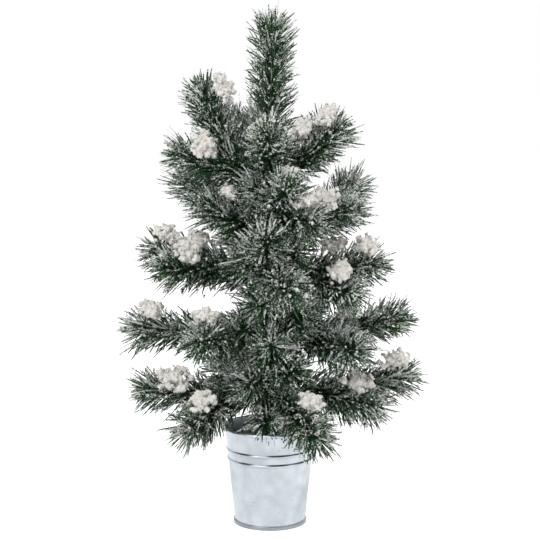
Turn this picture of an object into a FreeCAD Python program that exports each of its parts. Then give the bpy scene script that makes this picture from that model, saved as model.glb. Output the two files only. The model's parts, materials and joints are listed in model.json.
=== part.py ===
"""Small artificial tree with wire branches, standing in a tinned steel bucket.

Frame: millimetres, +Z up, origin on the floor at the bucket's axis. Azimuth 0 points along +X and
270 along -Y, which is the side that the tree is shown from.

Every twig is a straight length of wire. A branch is a main twig, sometimes with a side twig forked
off it, that bends at a round knuckle beside the trunk.
"""

import FreeCAD
import Part

import os

# ---------------------------------------------------------------- driving sizes

BUCKET = {
    "bucket_height": 86.0,
    "bucket_foot_radius": 31.2,
    "bucket_top_radius": 39.8,
    "bucket_wall_thickness": 0.6,
    "bead_low_height": 58.5,
    "bead_high_height": 67.0,
    "bead_round": 1.5,
    "bead_sink": 0.4,
    "rim_wire_radius": 1.0,
    "rim_wire_fit": 0.1,
    "seam_height": 3.4,
    "seam_lip": 0.9,
    "seam_floor": 0.8,
    "seam_round": 0.4,
    "seam_fit": 0.05,
    "seam_ledge": 1.6,
    "base_disc_thickness": 0.8,
}
BALLAST = {
    "ballast_top": 64.0,
    "ballast_gap": 0.3,
    "trunk_socket_depth": 52.0,
    "trunk_socket_fit": 0.2,
}
TRUNK = {
    "trunk_radius": 4.0,
    "trunk_top": 330.0,
    "collar_radius": 6.0,
    "collar_length": 18.0,
    "collar_fit": 0.1,
    "garland_radius": 8.0,
    "garland_fit": 0.3,
    "garland_clearance": 2.5,
    "garland_top_length": 12.0,
}
TIER_HEIGHT = {
    "tier1_height": 112.0,
    "tier2_height": 164.0,
    "tier3_height": 214.0,
    "tier4_height": 262.0,
    "tier5_height": 306.0,
}
TWIG = {
    "main_wire_radius": 1.1,
    "side_wire_radius": 0.9,
    "knuckle_radius": 1.9,
    "running_gap": 0.3,
    "main_foliage_radius": 11.0,
    "side_foliage_radius": 10.0,
    "foliage_start": 20.0,
    "tip_overhang": 14.0,
    "wire_bore_gap": 0.3,
    "snow_gap": 0.3,
}
LEADER = {
    "leader_length": 118.0,
    "leader_rise": 89.0,
    "leader_azimuth": 0.0,
    "leader_foliage_start": 14.0,
}

# Each branch: its tier, its height above the tier, azimuth, rise and length of the main twig, then
# the side twig: distance of the fork from the knuckle, turn away from the main twig's azimuth, rise
# and length. Lengths are measured to the tip of the needles, and angles are in degrees.
BRANCHES = {
    "tier5_left": (5, 0, 186, 17, 88, (20, -16, 66, 90)),
    "tier5_right": (5, 3, 356, 38, 78, (24, 56, 36, 62)),
    "tier5_front": (5, -4, 268, 45, 74, None),
    "tier5_back": (5, 5, 100, 36, 88, (24, 44, 36, 70)),
    "tier4_left": (4, 2, 196, 21, 66, (24, -54, 28, 80)),
    "tier4_right": (4, -3, 346, 19, 82, (24, 58, 27, 84)),
    "tier4_front": (4, 0, 282, 33, 86, (26, 26, -3, 60)),
    "tier4_back": (4, 2, 92, 29, 92, None),
    "tier3_left": (3, 5, 178, 15, 110, (34, 36, 3, 72)),
    "tier3_right": (3, 5, 354, 10, 98, (30, -44, -14, 66)),
    "tier3_front": (3, 0, 268, 36, 96, (30, 20, -13, 70)),
    "tier3_back": (3, 2, 84, 19, 96, (32, 46, 17, 76)),
    "tier2_left": (2, 2, 182, 5, 123, (26, 66, 5, 84)),
    "tier2_right": (2, -2, 4, 11, 122, (28, -62, -3, 84)),
    "tier2_back": (2, 0, 94, 13, 96, (32, -44, 11, 80)),
    "tier1_left": (1, 2, 184, 4, 116, (28, 56, -16, 84)),
    "tier1_right": (1, 2, 2, 8, 128, (34, -38, -7, 76)),
    "tier1_front": (1, 6, 300, -20, 92, None),
    "tier1_back": (1, 0, 88, 8, 96, (30, 48, 5, 82)),
}

# Each clump of flock: the twig that it sticks to, its distance along the twig, its roll about the
# twig from the upper side, and its half length, half width and half thickness.
SNOW = {
    "tier5_left": [("side", 72, -25, 11, 9, 5), ("main", 56, -50, 10, 10, 5)],
    "tier5_right": [("main", 40, 25, 9, 9, 5), ("main", 64, 40, 9, 8, 4.5)],
    "tier5_front": [("main", 48, 20, 9, 8, 4.5)],
    "tier4_left": [("main", 40, -30, 7, 7, 4)],
    "tier4_right": [("main", 48, 45, 13, 10, 5.5)],
    "tier4_front": [("main", 62, -20, 8, 8, 4), ("side", 44, 15, 8, 8, 4.5)],
    "tier3_left": [("main", 60, -15, 10, 9, 5), ("main", 88, -40, 10, 8, 5), ("side", 44, -40, 11, 10, 5)],
    "tier3_right": [("main", 52, 10, 9, 8, 5), ("main", 80, 35, 10, 9, 5), ("side", 44, 30, 9, 9, 5)],
    "tier2_left": [("main", 96, -30, 10, 9, 5), ("side", 58, 0, 9, 9, 4.5)],
    "tier2_right": [("main", 62, 30, 7, 7, 4)],
    "tier1_left": [("main", 78, -50, 13, 10, 6), ("side", 52, -15, 10, 9, 5)],
    "tier1_right": [("main", 106, 30, 11, 9, 5.5), ("side", 46, 25, 11, 10, 5.5)],
    "tier1_front": [("main", 52, -10, 10, 9, 5)],
}

# ---------------------------------------------------------------- document and sheet

doc = FreeCAD.newDocument("tabletop_tree")
sheet = doc.addObject("Spreadsheet::Sheet", "Sizes")
parts = {}
row = 0


def store(alias, value):
    """Put one driving size into the sheet under its own name."""
    global row
    row += 1
    cell = "A%d" % row
    sheet.set(cell, str(value))
    sheet.setAlias(cell, alias)


def store_twig(name, azimuth, rise, length):
    """Put the sizes of one twig into the sheet."""
    store(name + "_azimuth", azimuth)
    store(name + "_rise", rise)
    store(name + "_length", length)


for group in (BUCKET, BALLAST, TRUNK, TIER_HEIGHT, TWIG, LEADER):
    for alias, value in group.items():
        store(alias, value)
for branch, (tier, above, azimuth, rise, length, side) in BRANCHES.items():
    store(branch + "_above", above)
    store_twig(branch + "_main", azimuth, rise, length)
    if side:
        fork, turn, side_rise, side_length = side
        store(branch + "_fork", fork)
        store_twig(branch + "_side", turn, side_rise, side_length)
doc.recompute()


# ---------------------------------------------------------------- small builders


def make(kind, name, **bindings):
    """Add a Part object and bind its properties to expressions."""
    thing = doc.addObject("Part::" + kind, name)
    for prop, expression in bindings.items():
        thing.setExpression(prop, expression)
    return thing


def cylinder(name, radius, length, bottom):
    """An upright cylinder on the axis of the tree."""
    shape = make("Cylinder", name, Radius=radius, Height=length)
    shape.setExpression("Placement.Base.z", bottom)
    return shape


def cone(name, low_radius, high_radius, length, bottom):
    """An upright cone on the axis of the tree."""
    shape = make("Cone", name, Radius1=low_radius, Radius2=high_radius, Height=length)
    shape.setExpression("Placement.Base.z", bottom)
    return shape


def ring(name, radius, tube, level):
    """A level torus on the axis of the tree."""
    shape = make("Torus", name, Radius1=radius, Radius2=tube)
    shape.setExpression("Placement.Base.z", level)
    return shape


def cut(name, base, tool):
    result = doc.addObject("Part::Cut", name)
    result.Base = base
    result.Tool = tool
    return result


def fuse(name, shapes):
    result = doc.addObject("Part::MultiFuse", name)
    result.Shapes = shapes
    return result


def group(name, shapes):
    """Separate solids that one node holds."""
    result = doc.addObject("Part::Compound", name)
    result.Links = shapes
    return result


def publish(node, thing):
    """Name a finished piece."""
    thing.Label = node
    parts[node] = thing


def moved(x, y, z, yaw="0", pitch="0", roll="0"):
    """A placement as an expression: a shift, then turns about Z, Y and X."""
    return (
        "create(<<placement>>; create(<<vector>>; %s; %s; %s); create(<<rotation>>; %s; %s; %s))"
        % (x, y, z, yaw, pitch, roll)
    )


# ---------------------------------------------------------------- bucket


def wall_radius(level):
    """The bucket's outer radius at a height, as an expression."""
    return (
        "Sizes.bucket_foot_radius + (Sizes.bucket_top_radius - Sizes.bucket_foot_radius)"
        " * (%s) / Sizes.bucket_height" % level
    )


def make_bucket():
    outside = cone(
        "wall_outside",
        wall_radius("Sizes.seam_floor"),
        "Sizes.bucket_top_radius",
        "Sizes.bucket_height - Sizes.seam_floor",
        "Sizes.seam_floor",
    )
    inside = cone(
        "wall_inside",
        wall_radius("Sizes.seam_floor") + " - Sizes.bucket_wall_thickness",
        "Sizes.bucket_top_radius - Sizes.bucket_wall_thickness",
        "Sizes.bucket_height - Sizes.seam_floor",
        "Sizes.seam_floor",
    )
    swells, hollows = [], []
    for bead in ("bead_low", "bead_high"):
        level = "Sizes.%s_height" % bead
        radius = wall_radius(level) + " - Sizes.bead_sink"
        swells.append(ring(bead + "_swell", radius, "Sizes.bead_round", level))
        hollows.append(
            ring(bead + "_hollow", radius, "Sizes.bead_round - Sizes.bucket_wall_thickness", level)
        )
    curl_radius = (
        "Sizes.bucket_top_radius - Sizes.bucket_wall_thickness + Sizes.rim_wire_radius"
        " + Sizes.rim_wire_fit + Sizes.bucket_wall_thickness"
    )
    curl = ring(
        "rim_curl",
        curl_radius,
        "Sizes.rim_wire_radius + Sizes.rim_wire_fit + Sizes.bucket_wall_thickness",
        "Sizes.bucket_height",
    )
    channel = ring(
        "rim_channel", curl_radius, "Sizes.rim_wire_radius + Sizes.rim_wire_fit", "Sizes.bucket_height"
    )
    skin = fuse("wall_skin", [outside, curl] + swells)
    room = fuse("wall_room", [inside, channel] + hollows)
    publish("bucket_wall", cut("wall_sheet", skin, room))
    publish("bucket_rim_wire", ring("rim_wire", curl_radius, "Sizes.rim_wire_radius", "Sizes.bucket_height"))

    seam_radius = wall_radius("Sizes.seam_height") + " + Sizes.seam_fit + Sizes.seam_lip"
    block = cylinder("base_block", seam_radius, "Sizes.seam_height", "0")
    pocket = cylinder(
        "base_pocket",
        wall_radius("0") + " - Sizes.bucket_wall_thickness - Sizes.seam_ledge",
        "Sizes.seam_height - Sizes.base_disc_thickness",
        "0",
    )
    slot_outside = cone(
        "slot_outside",
        wall_radius("Sizes.seam_floor") + " + Sizes.seam_fit",
        wall_radius("Sizes.seam_height") + " + Sizes.seam_fit",
        "Sizes.seam_height - Sizes.seam_floor",
        "Sizes.seam_floor",
    )
    slot_inside = cone(
        "slot_inside",
        wall_radius("Sizes.seam_floor") + " - Sizes.bucket_wall_thickness - Sizes.seam_fit",
        wall_radius("Sizes.seam_height") + " - Sizes.bucket_wall_thickness - Sizes.seam_fit",
        "Sizes.seam_height - Sizes.seam_floor",
        "Sizes.seam_floor",
    )
    slot = cut("base_slot", slot_outside, slot_inside)
    blank = cut("base_blank", cut("base_recessed", block, pocket), slot)
    doc.recompute()
    rounded = doc.addObject("Part::Fillet", "base_rounded")
    rounded.Base = blank
    rim_edges = []
    for number, edge in enumerate(blank.Shape.Edges, start=1):
        widest = abs(edge.BoundBox.XMax - block.Radius.Value) < 0.01
        level_edge = edge.BoundBox.ZLength < 0.01
        if widest and level_edge:
            rim_edges.append((number, sheet.seam_round, sheet.seam_round))
    rounded.Edges = rim_edges
    publish("bucket_base", rounded)


# ---------------------------------------------------------------- ballast and trunk


def make_ballast():
    plug = cone(
        "plug",
        wall_radius("Sizes.seam_height") + " - Sizes.bucket_wall_thickness - Sizes.ballast_gap",
        wall_radius("Sizes.ballast_top") + " - Sizes.bucket_wall_thickness - Sizes.ballast_gap",
        "Sizes.ballast_top - Sizes.seam_height",
        "Sizes.seam_height",
    )
    socket = cylinder(
        "trunk_socket",
        "Sizes.trunk_radius + Sizes.trunk_socket_fit",
        "Sizes.trunk_socket_depth",
        "Sizes.ballast_top - Sizes.trunk_socket_depth",
    )
    publish("ballast", cut("ballast_plug", plug, socket))


def sleeve(name, inner, outer, length, bottom):
    """A plain tube round the trunk."""
    return cut(
        name,
        cylinder(name + "_outside", outer, length, bottom),
        cylinder(name + "_bore", inner, length, bottom),
    )


def make_trunk():
    foot = "Sizes.ballast_top - Sizes.trunk_socket_depth"
    publish("trunk", cylinder("trunk_pole", "Sizes.trunk_radius", "Sizes.trunk_top - (%s)" % foot, foot))

    collars, tufts = [], []
    tiers = sorted(TIER_HEIGHT)
    for number, tier in enumerate(tiers):
        level = "Sizes." + tier
        collars.append(
            sleeve(
                tier + "_collar",
                "Sizes.trunk_radius + Sizes.collar_fit",
                "Sizes.collar_radius",
                "Sizes.collar_length",
                "%s - Sizes.collar_length / 2" % level,
            )
        )
        start = "%s + Sizes.collar_length / 2 + Sizes.garland_clearance" % level
        if number + 1 < len(tiers):
            length = "Sizes.%s - %s - Sizes.collar_length - 2 * Sizes.garland_clearance" % (
                tiers[number + 1],
                level,
            )
        else:
            length = "Sizes.garland_top_length"
        tufts.append(
            sleeve(
                tier + "_tuft",
                "Sizes.trunk_radius + Sizes.garland_fit",
                "Sizes.garland_radius",
                length,
                start,
            )
        )
    publish("trunk_collars", group("collars", collars))
    publish("trunk_garland", group("tufts", tufts))


# ---------------------------------------------------------------- twigs


class Twig:
    """One straight length of wire: where it starts, which way it runs, and what sits along it.

    In a twig's own frame X runs along the wire and Z is its upper side.
    """

    def __init__(self, name, kind, start, rise, length):
        self.name = name
        self.length = length
        self.place = start + " * " + moved("0", "0", "0", pitch="-(%s)" % rise)
        self.wire_radius = "Sizes.%s_wire_radius" % kind
        self.foliage_radius = "Sizes.%s_foliage_radius" % kind

    def bar(self, name, radius, start, end):
        """A round bar along the twig, between two distances from its start."""
        rod = make("Cylinder", self.name + name, Radius=radius, Height="%s - (%s)" % (end, start))
        rod.setExpression("Placement", "%s * %s" % (self.place, moved(start, "0", "0", pitch="90")))
        return rod

    def ball(self, name, radius, distance):
        """A ball centred on the twig."""
        dome = make("Sphere", self.name + name, Radius=radius)
        dome.setExpression("Placement", "%s * %s" % (self.place, moved(distance, "0", "0")))
        return dome

    def wire(self):
        return self.bar("_wire", self.wire_radius, "0", "%s - Sizes.tip_overhang" % self.length)

    def bore(self):
        return self.bar(
            "_bore",
            self.wire_radius + " + Sizes.wire_bore_gap",
            "0",
            "%s - Sizes.tip_overhang + Sizes.wire_bore_gap" % self.length,
        )

    def brush(self, name, start):
        """The packed core of the needles, round at the tip."""
        dome_at = "%s - %s" % (self.length, self.foliage_radius)
        rod = self.bar(name + "_rod", self.foliage_radius, start, dome_at)
        dome = self.ball(name + "_dome", self.foliage_radius, dome_at)
        return fuse(self.name + name, [rod, dome])

    def lump(self, name, distance, roll, half_length, half_width, half_thick):
        """An ellipsoid of flock that lies on the needles."""
        seat = "%s + Sizes.snow_gap + %s" % (self.foliage_radius, half_thick)
        clump = make(
            "Ellipsoid",
            name,
            Radius1=str(half_thick),
            Radius2=str(half_length),
            Radius3=str(half_width),
        )
        clump.Angle1 = -90
        clump.setExpression(
            "Placement",
            " * ".join([self.place, moved(distance, "0", "0", roll=str(roll)), moved("0", "0", seat)]),
        )
        return clump


def make_garland(twig, start, bores):
    """The needles on one twig, with the wires' own channels through them."""
    channel = fuse(twig.name + "_channel", bores) if len(bores) > 1 else bores[0]
    return cut(twig.name + "_garland", twig.brush("_brush", start), channel)


def make_root(twig):
    """The wire of a twig with the knuckle that it turns on."""
    knuckle = twig.ball("_knuckle", "Sizes.knuckle_radius", "0")
    return fuse(twig.name + "_root", [twig.wire(), knuckle])


def make_branch(branch, tier, side):
    cell = "Sizes." + branch
    pivot = "Sizes.collar_radius + Sizes.running_gap + Sizes.knuckle_radius"
    frame = moved("0", "0", "Sizes.tier%d_height + %s_above" % (tier, cell), yaw=cell + "_main_azimuth")
    knuckle = frame + " * " + moved(pivot, "0", "0")
    main = Twig(branch + "_main", "main", knuckle, cell + "_main_rise", cell + "_main_length")
    twigs = {"main": main}
    wires = [make_root(main)]
    bores = [main.bore()]
    tufts = []

    if side:
        fork_out = "%s_fork * cos(%s_main_rise)" % (cell, cell)
        fork_up = "%s_fork * sin(%s_main_rise)" % (cell, cell)
        fork = knuckle + " * " + moved(fork_out, "0", fork_up, yaw=cell + "_side_azimuth")
        spur = Twig(branch + "_side", "side", fork, cell + "_side_rise", cell + "_side_length")
        twigs["side"] = spur
        notch = main.bar("_notch", main.wire_radius, "0", main.length)
        wires.append(cut(branch + "_spur", spur.wire(), notch))
        around = main.brush("_around", "0")
        tufts.append(cut(branch + "_tuft", make_garland(spur, "0", [spur.bore()]), around))
        bores.append(spur.bore())

    publish(branch + "_wire", group(branch + "_wires", wires))
    tufts.append(make_garland(main, "Sizes.foliage_start", bores))
    publish(branch + "_foliage", group(branch + "_tufts", tufts))
    if branch in SNOW:
        lumps = []
        for number, (which, *shape) in enumerate(SNOW[branch], start=1):
            lumps.append(twigs[which].lump("%s_lump%d" % (branch, number), *shape))
        publish(branch + "_snow", group(branch + "_lumps", lumps))


def make_leader():
    """The upright top shoot, on its own knuckle above the trunk."""
    foot = "Sizes.trunk_top + Sizes.running_gap + Sizes.knuckle_radius"
    start = moved("0", "0", foot, yaw="Sizes.leader_azimuth")
    shoot = Twig("leader", "main", start, "Sizes.leader_rise", "Sizes.leader_length")
    publish("leader_wire", make_root(shoot))
    publish("leader_foliage", make_garland(shoot, "Sizes.leader_foliage_start", [shoot.bore()]))


# ---------------------------------------------------------------- build, check and write


def check_document():
    doc.recompute()
    for thing in doc.Objects:
        if "Invalid" in thing.State or "Error" in thing.State:
            raise RuntimeError("%s failed: %s" % (thing.Name, thing.State))
    for node, thing in parts.items():
        if thing.Shape.isNull() or not thing.Shape.isValid() or not thing.Shape.Solids:
            raise RuntimeError("%s has no valid solid" % node)


make_bucket()
make_ballast()
make_trunk()
make_leader()
for branch, (tier, above, azimuth, rise, length, side) in BRANCHES.items():
    make_branch(branch, tier, side)
check_document()

os.makedirs("parts", exist_ok=True)
for node, thing in parts.items():
    thing.Shape.exportStep("parts/%s.step" % node)
    print("%-22s solids %d  volume %.1f mm3" % (node, len(thing.Shape.Solids), thing.Shape.Volume))
print("%d nodes" % len(parts))
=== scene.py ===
"""Looks of the small artificial tree in its tinned steel bucket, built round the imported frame.

The frame holds each twig as a straight wire. Everything on the branches grows from those wires: the
twisted strands, the flat needles with their frost, the crumbs of flock and the torn clumps of it.
"""

import json
import math

import bmesh
import bpy
import numpy as np
from mathutils import Matrix, Vector, noise

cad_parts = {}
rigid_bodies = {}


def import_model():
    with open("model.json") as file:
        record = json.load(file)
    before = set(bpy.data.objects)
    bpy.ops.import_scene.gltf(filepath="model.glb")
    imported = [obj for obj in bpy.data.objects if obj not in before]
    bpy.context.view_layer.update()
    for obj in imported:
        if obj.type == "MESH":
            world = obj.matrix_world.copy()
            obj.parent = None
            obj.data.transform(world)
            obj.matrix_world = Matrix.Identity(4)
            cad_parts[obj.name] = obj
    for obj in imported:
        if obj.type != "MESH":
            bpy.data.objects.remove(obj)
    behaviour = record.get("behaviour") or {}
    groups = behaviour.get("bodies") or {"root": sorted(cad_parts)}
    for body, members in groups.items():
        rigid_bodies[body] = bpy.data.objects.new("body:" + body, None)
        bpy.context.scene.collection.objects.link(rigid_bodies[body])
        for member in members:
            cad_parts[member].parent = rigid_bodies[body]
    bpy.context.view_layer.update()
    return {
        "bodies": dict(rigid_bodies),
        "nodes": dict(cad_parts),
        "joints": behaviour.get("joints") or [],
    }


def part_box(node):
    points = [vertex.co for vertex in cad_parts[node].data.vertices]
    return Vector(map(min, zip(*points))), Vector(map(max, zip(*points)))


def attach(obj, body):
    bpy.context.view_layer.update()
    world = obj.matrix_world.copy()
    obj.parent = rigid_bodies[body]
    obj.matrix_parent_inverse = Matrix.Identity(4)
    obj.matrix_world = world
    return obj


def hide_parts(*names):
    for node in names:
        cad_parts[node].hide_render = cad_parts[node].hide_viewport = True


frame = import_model()

MM = 0.001
UP = np.array([0.0, 0.0, 1.0])
ROOT = "bucket_and_trunk"
HINGES = {joint["child"]: np.array(joint["pos_m"]) for joint in frame["joints"]}
BRANCHES = sorted(body for body in frame["bodies"] if body.startswith("tier"))


# ---------------------------------------------------------------- camera, lamps and floor

CAMERA_PLACE = (0.0, -1.3, 0.393)
CAMERA_AIM = (0.0, 0.0, 0.2255)
CAMERA_LENS = 99.9
SKY_LIGHT = 0.40
FLOOR_GLOW = 0.68
FLOOR_HALF = 6.0
FLOOR_DROP = 0.2 * MM

# Each lamp: its name, place, width of its disc and power.
LAMPS = (
    ("key", (-1.1, -1.6, 1.7), 1.1, 28.0),
    ("fill", (1.5, -1.2, 0.8), 1.4, 10.0),
    ("back", (0.6, 1.6, 1.5), 1.2, 14.0),
)
LAMP_AIM = (0.0, 0.0, 0.22)


def aim(thing, target):
    direction = Vector(target) - thing.location
    thing.rotation_euler = direction.to_track_quat("-Z", "Y").to_euler()


def make_camera():
    camera = bpy.data.objects.new("camera", bpy.data.cameras.new("camera"))
    bpy.context.collection.objects.link(camera)
    camera.location = CAMERA_PLACE
    camera.data.lens = CAMERA_LENS
    camera.data.sensor_width = 36.0
    camera.data.clip_start = 0.01
    aim(camera, CAMERA_AIM)
    bpy.context.scene.camera = camera
    bpy.context.scene.view_settings.view_transform = "Standard"


def make_lamp(name, place, size, power):
    data = bpy.data.lights.new(name, "AREA")
    data.shape = "DISK"
    data.size = size
    data.energy = power
    lamp = bpy.data.objects.new(name, data)
    bpy.context.collection.objects.link(lamp)
    lamp.location = place
    aim(lamp, LAMP_AIM)


def background_strength(nodes, links, seen, lights):
    """A strength of one value for what the camera and mirrors see, and another for light."""
    path = nodes.new("ShaderNodeLightPath")
    either = nodes.new("ShaderNodeMath")
    either.operation = "MAXIMUM"
    links.new(path.outputs["Is Camera Ray"], either.inputs[0])
    links.new(path.outputs["Is Glossy Ray"], either.inputs[1])
    any_view = nodes.new("ShaderNodeMath")
    any_view.operation = "MAXIMUM"
    links.new(either.outputs[0], any_view.inputs[0])
    links.new(path.outputs["Is Transmission Ray"], any_view.inputs[1])
    span = nodes.new("ShaderNodeMapRange")
    span.inputs["To Min"].default_value = lights
    span.inputs["To Max"].default_value = seen
    links.new(any_view.outputs[0], span.inputs["Value"])
    return span.outputs["Result"]


def make_world():
    world = bpy.data.worlds.new("studio")
    bpy.context.scene.world = world
    world.use_nodes = True
    nodes, links = world.node_tree.nodes, world.node_tree.links
    sky = nodes["Background"]
    sky.inputs["Color"].default_value = (1.0, 1.0, 1.0, 1.0)
    links.new(background_strength(nodes, links, 1.0, SKY_LIGHT), sky.inputs["Strength"])


def make_floor():
    mesh = bpy.data.meshes.new("floor")
    half = FLOOR_HALF
    corners = [(-half, -half, 0), (half, -half, 0), (half, half, 0), (-half, half, 0)]
    mesh.from_pydata(corners, [], [(0, 1, 2, 3)])
    floor = bpy.data.objects.new("floor", mesh)
    bpy.context.collection.objects.link(floor)
    floor.location.z = -FLOOR_DROP
    material = bpy.data.materials.new("floor_paper")
    material.use_nodes = True
    nodes, links = material.node_tree.nodes, material.node_tree.links
    nodes.clear()
    out = nodes.new("ShaderNodeOutputMaterial")
    paper = nodes.new("ShaderNodeBsdfDiffuse")
    paper.inputs["Color"].default_value = (0.9, 0.9, 0.9, 1.0)
    glow = nodes.new("ShaderNodeEmission")
    links.new(background_strength(nodes, links, FLOOR_GLOW, 0.0), glow.inputs["Strength"])
    both = nodes.new("ShaderNodeAddShader")
    links.new(paper.outputs[0], both.inputs[0])
    links.new(glow.outputs[0], both.inputs[1])
    links.new(both.outputs[0], out.inputs["Surface"])
    mesh.materials.append(material)


# ---------------------------------------------------------------- material helpers


class Shader:
    """A material with one principled shader and short ways to feed it."""

    def __init__(self, name, color, roughness, metallic=0.0):
        self.material = bpy.data.materials.new(name)
        self.material.use_nodes = True
        self.nodes = self.material.node_tree.nodes
        self.links = self.material.node_tree.links
        self.bsdf = self.nodes["Principled BSDF"]
        self.bsdf.inputs["Base Color"].default_value = (*color, 1.0)
        self.bsdf.inputs["Roughness"].default_value = roughness
        self.bsdf.inputs["Metallic"].default_value = metallic

    def add(self, kind, **values):
        node = self.nodes.new("ShaderNode" + kind)
        for name, value in values.items():
            if hasattr(node, name):
                setattr(node, name, value)
            else:
                node.inputs[name.replace("_", " ").title()].default_value = value
        return node

    def place(self):
        return self.add("TexCoord").outputs["Object"]

    def height(self):
        split = self.nodes.new("ShaderNodeSeparateXYZ")
        self.links.new(self.place(), split.inputs[0])
        return split.outputs["Z"]

    def noise(self, scale, detail=2.0, roughness=0.5, stretch=None):
        texture = self.add("TexNoise", scale=scale, detail=detail, roughness=roughness)
        source = self.place()
        if stretch:
            mapping = self.add("Mapping")
            mapping.inputs["Scale"].default_value = stretch
            self.links.new(source, mapping.inputs["Vector"])
            source = mapping.outputs["Vector"]
        self.links.new(source, texture.inputs["Vector"])
        return texture.outputs["Fac"]

    def math(self, operation, a, b=None, c=None, clamp=False):
        node = self.nodes.new("ShaderNodeMath")
        node.operation = operation
        node.use_clamp = clamp
        for slot, value in zip(node.inputs, (a, b, c)):
            if value is None:
                continue
            if isinstance(value, (int, float)):
                slot.default_value = value
            else:
                self.links.new(value, slot)
        return node.outputs[0]

    def span(self, value, low, high, to_low=0.0, to_high=1.0, smooth=False):
        node = self.nodes.new("ShaderNodeMapRange")
        if smooth:
            node.interpolation_type = "SMOOTHSTEP"
        limits = (("From Min", low), ("From Max", high), ("To Min", to_low), ("To Max", to_high))
        for name, number in limits:
            node.inputs[name].default_value = number
        self.links.new(value, node.inputs["Value"])
        return node.outputs["Result"]

    def attribute(self, name):
        node = self.nodes.new("ShaderNodeAttribute")
        node.attribute_name = name
        return node.outputs["Fac"]

    def mix(self, factor, a, b):
        node = self.nodes.new("ShaderNodeMix")
        node.data_type = "RGBA"
        self.links.new(factor, node.inputs["Factor"])
        for slot, value in ((node.inputs[6], a), (node.inputs[7], b)):
            if isinstance(value, tuple):
                slot.default_value = (*value, 1.0)
            else:
                self.links.new(value, slot)
        return node.outputs[2]

    def color(self, value):
        self.links.new(value, self.bsdf.inputs["Base Color"])

    def rough(self, value):
        self.links.new(value, self.bsdf.inputs["Roughness"])

    def bump(self, height, distance, strength=1.0):
        node = self.nodes.new("ShaderNodeBump")
        node.inputs["Distance"].default_value = distance
        node.inputs["Strength"].default_value = strength
        self.links.new(height, node.inputs["Height"])
        self.links.new(node.outputs["Normal"], self.bsdf.inputs["Normal"])


# ---------------------------------------------------------------- materials

PINE_DEEP = (0.007, 0.028, 0.009)
PINE_FRESH = (0.020, 0.085, 0.014)
PINE_BLUE = (0.022, 0.080, 0.050)
FROST = (0.82, 0.84, 0.81)


def needle_material():
    s = Shader("flat_needles", PINE_DEEP, 0.5)
    tint = s.attribute("tint")
    green = s.mix(s.span(tint, 0.0, 0.6), PINE_DEEP, PINE_FRESH)
    green = s.mix(s.span(tint, 0.6, 1.0), green, PINE_BLUE)
    grain = s.noise(560.0, 2.0, 0.5)
    patch = s.noise(70.0, 1.0)
    drift = s.math("MULTIPLY", s.math("SUBTRACT", patch, 0.5), 0.55)
    lump = s.math("SUBTRACT", s.math("ADD", s.attribute("frost"), drift), grain)
    white = s.span(lump, -0.012, 0.030, smooth=True)
    s.color(s.mix(white, green, FROST))
    s.rough(s.span(white, 0.0, 1.0, 0.42, 0.9))
    s.bump(s.math("MULTIPLY", white, grain), 0.5 * MM, 0.7)
    return s.material


def flock_material():
    s = Shader("paper_flock", (0.80, 0.775, 0.715), 0.95)
    # Noise mixes a darker and a lighter cream; the darker patches are painted shade for the hollows of
    # the flock.
    painted_hollow_shade = s.noise(420.0, 4.0, 0.65)
    s.color(s.mix(s.span(painted_hollow_shade, 0.36, 0.58), (0.80, 0.775, 0.72), (0.93, 0.91, 0.87)))
    s.bump(s.noise(1500.0, 4.0, 0.65), 0.5 * MM, 0.8)
    return s.material


def crumb_material():
    s = Shader("frost_crumbs", (0.82, 0.83, 0.80), 0.9)
    tone = s.noise(300.0, 2.0)
    s.color(s.mix(s.span(tone, 0.35, 0.65), (0.66, 0.70, 0.68), (0.86, 0.87, 0.85)))
    s.bump(s.noise(2500.0, 2.0), 0.2 * MM, 0.5)
    return s.material


def wire_material():
    s = Shader("branch_wire", (0.16, 0.14, 0.11), 0.45, 0.8)
    rust = s.noise(500.0, 3.0)
    s.color(s.mix(rust, (0.20, 0.18, 0.15), (0.08, 0.06, 0.04)))
    return s.material


def bark_material():
    s = Shader("trunk_bark", (0.05, 0.035, 0.022), 0.8)
    grain = s.noise(220.0, 5.0, 0.7, (1.0, 1.0, 0.18))
    s.color(s.mix(s.span(grain, 0.3, 0.7), (0.022, 0.015, 0.009), (0.085, 0.06, 0.036)))
    s.bump(grain, 0.8 * MM, 0.8)
    return s.material


def tape_material():
    s = Shader("crepe_tape", (0.03, 0.04, 0.015), 0.8)
    crepe = s.noise(500.0, 3.0, 0.5, (0.6, 0.6, 3.0))
    s.color(s.mix(s.span(crepe, 0.3, 0.7), (0.02, 0.028, 0.010), (0.055, 0.065, 0.028)))
    s.bump(crepe, 0.5 * MM, 0.8)
    return s.material


def plaster_material():
    s = Shader("cast_plug", (0.08, 0.065, 0.05), 0.95)
    grain = s.noise(260.0, 6.0, 0.7)
    s.color(s.mix(s.span(grain, 0.35, 0.65), (0.045, 0.035, 0.026), (0.15, 0.125, 0.095)))
    s.bump(grain, 1.2 * MM, 1.0)
    return s.material


ZINC = (0.57, 0.615, 0.655)
ZINC_DULL = (0.42, 0.46, 0.485)
ZINC_DARK = (0.045, 0.05, 0.05)
BEADS = (58.5 * MM, 67.0 * MM)
SEAM_TOP = 3.4 * MM


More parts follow.
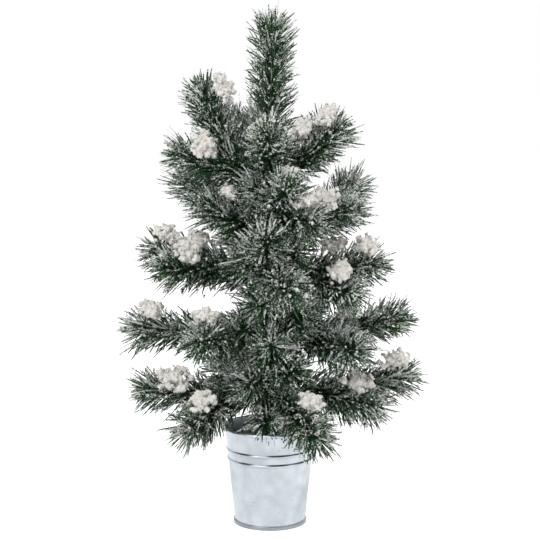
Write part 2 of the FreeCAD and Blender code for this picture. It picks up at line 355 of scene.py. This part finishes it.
def zinc_material():
    """Galvanised sheet: soft cloudy spangle, painted dark reflections in streaks over the beads, a
    dull foot seam.
    """
    s = Shader("tinned_steel", ZINC, 0.34, 1.0)
    spangle = s.add("TexVoronoi", scale=95.0)
    s.links.new(s.place(), spangle.inputs["Vector"])
    cloud = s.noise(30.0, 4.0, 0.6)
    tone = s.math("ADD", s.math("MULTIPLY", spangle.outputs["Distance"], 0.30), cloud)
    shade = s.mix(s.span(tone, 0.40, 0.85), ZINC, ZINC_DULL)
    height = s.height()
    # Low noise round the bucket, flat in height: where the painted dark reflections over the beads are
    # strong and where they fade.
    around = s.noise(24.0, 1.0, 0.5, (1.0, 1.0, 0.0))
    painted_reflection_spread = s.span(around, 0.44, 0.56, smooth=True)
    dark = s.span(s.noise(700.0, 1.0), 0.74, 0.78)
    # Painted reflection: a dark band just above each bead stands for the dark foliage mirrored in the
    # bead's upper face.
    for bead in BEADS:
        off = s.math("ABSOLUTE", s.math("SUBTRACT", height, bead + 1.1 * MM))
        line = s.span(off, 0.45 * MM, 1.0 * MM, 1.0, 0.0, smooth=True)
        dark = s.math("MAXIMUM", dark, s.math("MULTIPLY", line, painted_reflection_spread))
    foot = s.span(height, SEAM_TOP - 0.3 * MM, SEAM_TOP + 0.5 * MM, 0.55, 0.0, smooth=True)
    dark = s.math("MAXIMUM", dark, foot)
    # The dark colour covers small random specks, the painted reflections over the beads and the dull
    # foot seam.
    s.color(s.mix(s.math("MULTIPLY", dark, 0.9), shade, ZINC_DARK))
    s.rough(s.span(cloud, 0.3, 0.7, 0.30, 0.46))
    s.bump(s.noise(60.0, 3.0), 0.6 * MM, 0.15)
    return s.material


# ---------------------------------------------------------------- reading the frame


def loose_parts(node):
    """The separate solids of a CAD node, as arrays of points."""
    mesh = frame["nodes"][node].data
    count = len(mesh.vertices)
    points = np.array([v.co for v in mesh.vertices], float).reshape(-1, 3)
    keys = {}
    label = np.arange(count)
    for i, point in enumerate(points):
        key = tuple(np.round(point, 6))
        label[i] = keys.setdefault(key, i)

    def find(i):
        while label[i] != i:
            label[i] = label[label[i]]
            i = label[i]
        return i

    for edge in mesh.edges:
        a, b = find(edge.vertices[0]), find(edge.vertices[1])
        if a != b:
            label[max(a, b)] = min(a, b)
    owner = np.array([find(i) for i in range(count)])
    return [points[owner == k] for k in np.unique(owner)]


def far_end(points, start):
    """The centre of the end cap of a wire that is farthest from a point."""
    reach = np.linalg.norm(points - start, axis=1)
    return points[reach > reach.max() - 0.6 * MM].mean(axis=0)


def unit(v):
    return v / np.linalg.norm(v)


class Twig:
    """One wire of the frame with a slight bow, and what grows along it."""

    def __init__(self, start, end, rng, bow=0.03):
        self.start = start
        self.end = end
        self.length = float(np.linalg.norm(end - start))
        self.axis = unit(end - start)
        side = np.cross(self.axis, UP)
        if np.linalg.norm(side) < 0.2:
            side = np.array([1.0, 0.0, 0.0])
        self.side = unit(side)
        self.top = unit(np.cross(self.side, self.axis))
        lift = -rng.uniform(0.3, 1.0) * bow * self.length
        sway = rng.uniform(-0.6, 0.6) * bow * self.length
        self.bow = lift * self.top + sway * self.side

    def points(self, t):
        """Places along the wire, for t from 0 at the root to 1 at the end of the wire."""
        t = np.asarray(t, float)[:, None]
        return self.start + t * (self.end - self.start) + 4 * t * (1 - t) * self.bow

    def tangents(self, t):
        t = np.asarray(t, float)[:, None]
        slope = (self.end - self.start) + 4 * (1 - 2 * t) * self.bow
        return slope / np.linalg.norm(slope, axis=1, keepdims=True)


def branch_twigs(branch, rng):
    pivot = HINGES[branch]
    solids = loose_parts(branch + "_wire")
    solids.sort(key=lambda p: np.linalg.norm(p - pivot, axis=1).min())
    main = Twig(pivot, far_end(solids[0], pivot), rng)
    twigs = [main]
    for points in solids[1:]:
        middle = points.mean(axis=0)
        end = far_end(points, pivot)
        near = far_end(points, end)
        heading = unit(end - near)
        # where the side wire's line passes closest to the main wire
        w = near - main.start
        b = heading @ main.axis
        d, e = heading @ w, main.axis @ w
        t = np.clip((e - b * d) / (1 - b * b) / main.length, 0.05, 0.95)
        twigs.append(Twig(main.points([t])[0], end, rng))
    return twigs


# ---------------------------------------------------------------- meshes

NEEDLE_STATIONS = np.array([0.0, 0.30, 0.60, 0.84, 1.0])
NEEDLE_WIDTHS = np.array([0.60, 1.0, 1.0, 0.95, 0.55])
NEEDLE_HALF_WIDTH = 0.72 * MM
NEEDLE_LENGTH = 24.5 * MM
NEEDLES_PER_MM = 6.0
SPRIG_NEEDLES_PER_MM = 5.4
POLE_NEEDLES_PER_MM = 6.5
GOLDEN_TURN = math.radians(137.5)
TIP_CLOSE = 10 * MM

CRUMBS_PER_TWIG = 560
CRUMBS_ON_LEADER = 420
CRUMBS_ON_TRUNK = 2600


def new_object(name, mesh, material, smooth=True):
    if material:
        mesh.materials.append(material)
    if smooth:
        mesh.polygons.foreach_set("use_smooth", np.ones(len(mesh.polygons), dtype=bool))
    thing = bpy.data.objects.new(name, mesh)
    bpy.context.collection.objects.link(thing)
    return thing


def array_mesh(name, points, faces):
    """A mesh from arrays of points and of faces that all have as many corners."""
    mesh = bpy.data.meshes.new(name)
    corners = faces.shape[1]
    mesh.vertices.add(len(points))
    mesh.vertices.foreach_set("co", points.astype(np.float32).ravel())
    mesh.loops.add(faces.size)
    mesh.loops.foreach_set("vertex_index", faces.astype(np.int32).ravel())
    mesh.polygons.add(len(faces))
    mesh.polygons.foreach_set("loop_start", np.arange(0, faces.size, corners, dtype=np.int32))
    mesh.polygons.foreach_set("loop_total", np.full(len(faces), corners, dtype=np.int32))
    mesh.update(calc_edges=True)
    mesh.validate()
    return mesh


class NeedleSet:
    """Rows of needles: where each is rooted, where it points, and how it is finished."""

    def __init__(self):
        self.base, self.heading, self.bend, self.wide = [], [], [], []
        self.length, self.frost, self.tint = [], [], []

    def add(self, base, heading, bend, wide, length, frost, tint):
        self.base.append(base)
        self.heading.append(heading)
        self.bend.append(bend)
        self.wide.append(wide)
        self.length.append(length)
        self.frost.append(frost)
        self.tint.append(tint)

    def joined(self):
        fields = (self.base, self.heading, self.bend, self.wide, self.length, self.frost, self.tint)
        return [np.concatenate(field) for field in fields]


def grow(needles, twig, rng, density, length, radius=0.9 * MM, lean=50.0, start=5 * MM, open_end=True):
    """Needles all round one twig, leaning towards its tip; density is needles for each millimetre."""
    count = int(density * (twig.length - start) / MM)
    t = np.linspace(start / twig.length, 1.0, count) + rng.uniform(-0.5, 0.5, count) / count
    t = np.clip(t, 0.0, 1.0)
    turn = np.arange(count) * GOLDEN_TURN + rng.normal(0, 0.25, count)
    base, tangent = twig.points(t), twig.tangents(t)
    across = np.cross(tangent, twig.top)
    across /= np.linalg.norm(across, axis=1, keepdims=True)
    above = np.cross(across, tangent)
    out = np.cos(turn)[:, None] * above + np.sin(turn)[:, None] * across
    angle = np.radians(lean + rng.normal(0, 6.0, count))
    size = length * np.clip(rng.normal(1.0, 0.06, count), 0.85, 1.12)
    if open_end:
        # the last needles close over the end of the wire
        left = (1.0 - t) * twig.length
        close = np.clip(1.0 - left / TIP_CLOSE, 0.0, 1.0)
        angle *= 1.0 - 0.75 * close * rng.uniform(0.3, 1.0, count)
        size *= 1.0 - 0.42 * close
    heading = np.cos(angle)[:, None] * tangent + np.sin(angle)[:, None] * out
    bend = (0.16 * rng.normal(0.2, 1.0, count))[:, None] * tangent
    bend += 0.10 * rng.normal(0, 1.0, (count, 3)) - np.array([0, 0, 0.03])
    spin = rng.normal(0, 0.9, count)
    flat = np.cross(heading, out)
    flat /= np.linalg.norm(flat, axis=1, keepdims=True) + 1e-9
    other = np.cross(heading, flat)
    wide = np.cos(spin)[:, None] * flat + np.sin(spin)[:, None] * other
    exposure = 0.5 + 0.5 * out[:, 2]
    frost = 0.335 + 0.07 * exposure + 0.06 * t + rng.normal(0, 0.045, count)
    tint = np.clip(rng.normal(0.45, 0.28, count), 0, 1)
    needles.add(base + radius * out, heading, bend, wide, size, frost, tint)


def needle_points(needles):
    """Corner points of every needle: stations along it by three across."""
    base, heading, bend, wide, length, frost, tint = needles.joined()
    u = NEEDLE_STATIONS[None, :, None]
    curve = u * heading[:, None, :] + u**2 * bend[:, None, :]
    spine = base[:, None, :] + length[:, None, None] * curve
    normal = np.cross(heading, wide)
    half = NEEDLE_HALF_WIDTH * NEEDLE_WIDTHS[None, :, None]
    left = spine - half * wide[:, None, :]
    right = spine + half * wide[:, None, :]
    ridge = spine + 0.28 * half * normal[:, None, :]
    return np.stack([left, ridge, right], axis=2), frost, tint


def needle_mesh(name, needles):
    points, frost, tint = needle_points(needles)
    count, stations = points.shape[0], points.shape[1]
    index = np.arange(count * stations * 3).reshape(count, stations, 3)
    low, high = index[:, :-1], index[:, 1:]
    quads = np.stack([low[:, :, :-1], low[:, :, 1:], high[:, :, 1:], high[:, :, :-1]], axis=-1)
    mesh = array_mesh(name, points.reshape(-1, 3), quads.reshape(-1, 4))
    along = NEEDLE_STATIONS[None, :, None]
    white = frost[:, None, None] + 0.18 * (along - 0.45) + np.zeros((count, stations, 3))
    white[:, 0, :] -= 0.2
    for label, values in (("frost", white), ("tint", tint[:, None, None] + np.zeros_like(white))):
        layer = mesh.attributes.new(label, "FLOAT", "POINT")
        layer.data.foreach_set("value", values.astype(np.float32).ravel())
    bake_cells(mesh, count, stations)
    return mesh


def bake_cells(mesh, count, stations):
    """One small UV cell for each needle, so that every needle keeps its own frost."""
    columns = math.ceil(math.sqrt(count * 7))
    rows = math.ceil(count / columns)
    number = np.arange(count)
    left = (number % columns + 0.12) / columns
    low = (number // columns + 0.06) / rows
    u = left[:, None, None] + 0.76 / columns * np.array([0.0, 0.5, 1.0])[None, None, :]
    v = low[:, None, None] + 0.88 / rows * NEEDLE_STATIONS[None, :, None]
    place = np.stack(np.broadcast_arrays(u, v), axis=-1).reshape(-1, 2)
    corner = np.empty(len(mesh.loops), dtype=np.int32)
    mesh.loops.foreach_get("vertex_index", corner)
    layer = mesh.uv_layers.new(name="OFBake")
    layer.uv.foreach_set("vector", place[corner].astype(np.float32).ravel())


def icosphere():
    """Corners and faces of a coarse ball."""
    bm = bmesh.new()
    bmesh.ops.create_icosphere(bm, subdivisions=1, radius=1.0)
    points = np.array([v.co for v in bm.verts])
    faces = np.array([[v.index for v in f.verts] for f in bm.faces])
    bm.free()
    return points, faces


def crumb_mesh(name, needles, rng, count):
    """Grains of flock that stick to the needles."""
    points, frost, _ = needle_points(needles)
    ball, faces = icosphere()
    weight = np.clip(frost, 0.02, None) ** 3
    pick = rng.choice(len(points), count, p=weight / weight.sum())
    u = rng.beta(2.2, 1.2, count) * 0.999
    station = np.searchsorted(NEEDLE_STATIONS, u, side="right") - 1
    station = np.minimum(station, len(NEEDLE_STATIONS) - 2)
    share = (u - NEEDLE_STATIONS[station]) / (NEEDLE_STATIONS[station + 1] - NEEDLE_STATIONS[station])
    column = rng.integers(0, 3, count)
    near, far = points[pick, station, column], points[pick, station + 1, column]
    place = near * (1 - share)[:, None] + far * share[:, None]
    size = rng.gamma(4.0, 0.145, count) * MM
    shape = ball[None] * size[:, None, None] * rng.uniform(0.55, 1.25, (count, len(ball), 1))
    corner = place[:, None, :] + shape
    all_faces = faces[None] + (np.arange(count) * len(ball))[:, None, None]
    return array_mesh(name, corner.reshape(-1, 3), all_faces.reshape(-1, 3))


def strand_mesh(name, twigs):
    """Two thin wires twisted round each other along every twig."""
    sides, strand, pitch, step = 6, 0.55 * MM, 7 * MM, 1.1 * MM
    all_points, all_faces, used = [], [], 0
    for twig in twigs:
        rings = int(twig.length / step) + 2
        t = np.linspace(0.0, 1.0, rings)
        centre, tangent = twig.points(t), twig.tangents(t)
        across = unit_rows(np.cross(tangent, twig.top))
        above = np.cross(across, tangent)
        for phase in (0.0, math.pi):
            turn = t * twig.length / pitch * 2 * math.pi + phase
            core = centre + strand * (np.cos(turn)[:, None] * above + np.sin(turn)[:, None] * across)
            around = np.arange(sides) / sides * 2 * math.pi
            ring = (
                core[:, None, :]
                + strand * np.cos(around)[None, :, None] * above[:, None, :]
                + strand * np.sin(around)[None, :, None] * across[:, None, :]
            )
            index = used + np.arange(rings * sides).reshape(rings, sides)
            turned = np.roll(index, -1, axis=1)
            faces = np.stack([index[:-1], turned[:-1], turned[1:], index[1:]], axis=-1)
            all_points.append(ring.reshape(-1, 3))
            all_faces.append(faces.reshape(-1, 4))
            used += rings * sides
    return array_mesh(name, np.concatenate(all_points), np.concatenate(all_faces))


def unit_rows(v):
    return v / np.linalg.norm(v, axis=1, keepdims=True)


# ---------------------------------------------------------------- clumps of flock


CLUMP_LIFT = 5 * MM
CLUMP_GROWTH = 1.38


def clump_object(name, solids, twigs, rng):
    """Torn, lumpy clumps of flock on the needle tips, over the places of the smooth solids."""
    bm = bmesh.new()
    for points in solids:
        centre = points.mean(axis=0)
        _, _, axes = np.linalg.svd(points - centre, full_matrices=False)
        reach = np.abs((points - centre) @ axes.T).max(axis=0) * CLUMP_GROWTH
        along = np.concatenate([twig.points(np.linspace(0, 1, 40)) for twig in twigs])
        nearest = along[np.linalg.norm(along - centre, axis=1).argmin()]
        centre = centre + CLUMP_LIFT * unit(centre - nearest)
        for _ in range(90):
            where = unit(rng.normal(0, 1, 3)) * rng.uniform(0.0, 0.95) ** 0.75
            radius = rng.uniform(0.08, 0.24) * reach[1] * (1.3 - 0.5 * np.linalg.norm(where))
            at = centre + (where * reach) @ axes
            place = Matrix.Translation(Vector(at))
            bmesh.ops.create_icosphere(bm, subdivisions=2, radius=radius, matrix=place)
    mesh = bpy.data.meshes.new(name)
    bm.to_mesh(mesh)
    bm.free()
    thing = bpy.data.objects.new(name, mesh)
    bpy.context.collection.objects.link(thing)
    remesh = thing.modifiers.new("skin", "REMESH")
    remesh.mode = "VOXEL"
    remesh.voxel_size = 0.65 * MM
    graph = bpy.context.evaluated_depsgraph_get()
    skin = bpy.data.meshes.new_from_object(thing.evaluated_get(graph))
    thing.modifiers.clear()
    thing.data = skin
    skin.name = name
    offset = Vector(rng.uniform(-5, 5, 3))
    normals = [v.normal.copy() for v in skin.vertices]
    for vertex, normal in zip(skin.vertices, normals):
        p = vertex.co
        lump = noise.fractal(p * 260 + offset, 0.9, 2.0, 3)
        tear = noise.fractal(p * 620 + offset, 0.8, 2.0, 3)
        vertex.co = p + normal * (1.5 * lump + 1.3 * tear) * MM
    return thing


# ---------------------------------------------------------------- assembling


def hang(name, mesh, material, body, stands_for=None, smooth=False):
    """Put a new piece on its body, in place of a CAD node if one is named."""
    piece = new_object(name, mesh, material, smooth)
    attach(piece, body)
    if stands_for:
        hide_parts(stands_for)


def dress_branch(branch, number, looks):
    rng = np.random.default_rng(1000 + number)
    twigs = branch_twigs(branch, rng)
    needles = NeedleSet()
    for order, twig in enumerate(twigs):
        start = (4 if order == 0 else 2) * MM
        grow(needles, twig, rng, density=NEEDLES_PER_MM, length=NEEDLE_LENGTH, start=start)
    name = "needles_" + branch
    hang(name, needle_mesh(name, needles), looks["needles"], branch, branch + "_foliage")
    name = "crumbs_" + branch
    crumbs = crumb_mesh(name, needles, rng, CRUMBS_PER_TWIG * len(twigs))
    hang(name, crumbs, looks["crumbs"], branch)
    name = "strands_" + branch
    hang(name, strand_mesh(name, twigs), looks["wire"], branch, smooth=True)

    node = branch + "_snow"
    if node in frame["nodes"]:
        clumps = clump_object("clumps_" + branch, loose_parts(node), twigs, rng)
        clumps.data.materials.append(looks["flock"])
        clumps.data.polygons.foreach_set("use_smooth", np.ones(len(clumps.data.polygons), dtype=bool))
        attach(clumps, branch)
        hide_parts(node)


def dress_leader(looks):
    rng = np.random.default_rng(77)
    pivot = HINGES["leader"]
    wire = Twig(pivot, far_end(loose_parts("leader_wire")[0], pivot), rng, bow=0.012)
    needles = NeedleSet()
    grow(needles, wire, rng, density=NEEDLES_PER_MM, length=NEEDLE_LENGTH, start=2 * MM)
    brush = needle_mesh("needles_leader", needles)
    hang("needles_leader", brush, looks["needles"], "leader", "leader_foliage")
    crumbs = crumb_mesh("crumbs_leader", needles, rng, CRUMBS_ON_LEADER)
    hang("crumbs_leader", crumbs, looks["crumbs"], "leader")


# Short sprigs of the garland that stand out from the trunk between the tiers: height in
# millimetres, azimuth and rise in degrees, length in millimetres.
SPRIGS = (
    (104, 262, -14, 30),
    (134, 244, -6, 36),
    (140, 300, 2, 36),
    (158, 272, 10, 40),
    (176, 226, 2, 38),
    (186, 312, 6, 38),
    (198, 262, 4, 36),
    (232, 238, 14, 34),
    (240, 300, 10, 34),
    (284, 250, 24, 28),
    (150, 120, 6, 34),
    (190, 60, 8, 34),
    (236, 100, 16, 32),
)


def dress_trunk(looks):
    rng = np.random.default_rng(55)
    low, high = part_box("trunk_garland")
    needles = NeedleSet()
    pole = Twig(np.array([0, 0, low.z - 26 * MM]), np.array([0, 0, high.z]), rng, bow=0.0)
    grow(
        needles,
        pole,
        rng,
        density=POLE_NEEDLES_PER_MM,
        length=30 * MM,
        radius=4.6 * MM,
        lean=64.0,
        start=0,
        open_end=False,
    )
    for height, azimuth, rise, length in SPRIGS:
        turn, tilt = math.radians(azimuth), math.radians(rise)
        flat = math.cos(tilt)
        heading = np.array([flat * math.cos(turn), flat * math.sin(turn), math.sin(tilt)])
        foot = np.array([0.0, 0.0, height * MM]) + 4 * MM * heading
        sprig = Twig(foot, foot + length * MM * heading, rng)
        grow(needles, sprig, rng, density=SPRIG_NEEDLES_PER_MM, length=26 * MM, start=0)
    garland = needle_mesh("needles_trunk", needles)
    hang("needles_trunk", garland, looks["needles"], ROOT, "trunk_garland")
    crumbs = crumb_mesh("crumbs_trunk", needles, rng, CRUMBS_ON_TRUNK)
    hang("crumbs_trunk", crumbs, looks["crumbs"], ROOT)


def paint(node, material):
    """Give a CAD node its material; its mesh stays as it is."""
    thing = frame["nodes"][node]
    if not thing.material_slots:
        thing.data.materials.append(None)
    for slot in thing.material_slots:
        slot.link = "OBJECT"
        slot.material = material


def main():
    make_camera()
    make_world()
    make_floor()
    for lamp in LAMPS:
        make_lamp(*lamp)
    looks = {
        "needles": needle_material(),
        "flock": flock_material(),
        "crumbs": crumb_material(),
        "wire": wire_material(),
    }
    for number, branch in enumerate(BRANCHES):
        dress_branch(branch, number, looks)
    dress_leader(looks)
    dress_trunk(looks)
    zinc = zinc_material()
    for node in ("bucket_wall", "bucket_rim_wire", "bucket_base"):
        paint(node, zinc)
    paint("ballast", plaster_material())
    paint("trunk", bark_material())
    paint("trunk_collars", tape_material())
    for branch in BRANCHES + ["leader"]:
        paint(branch + "_wire", looks["wire"])


main()
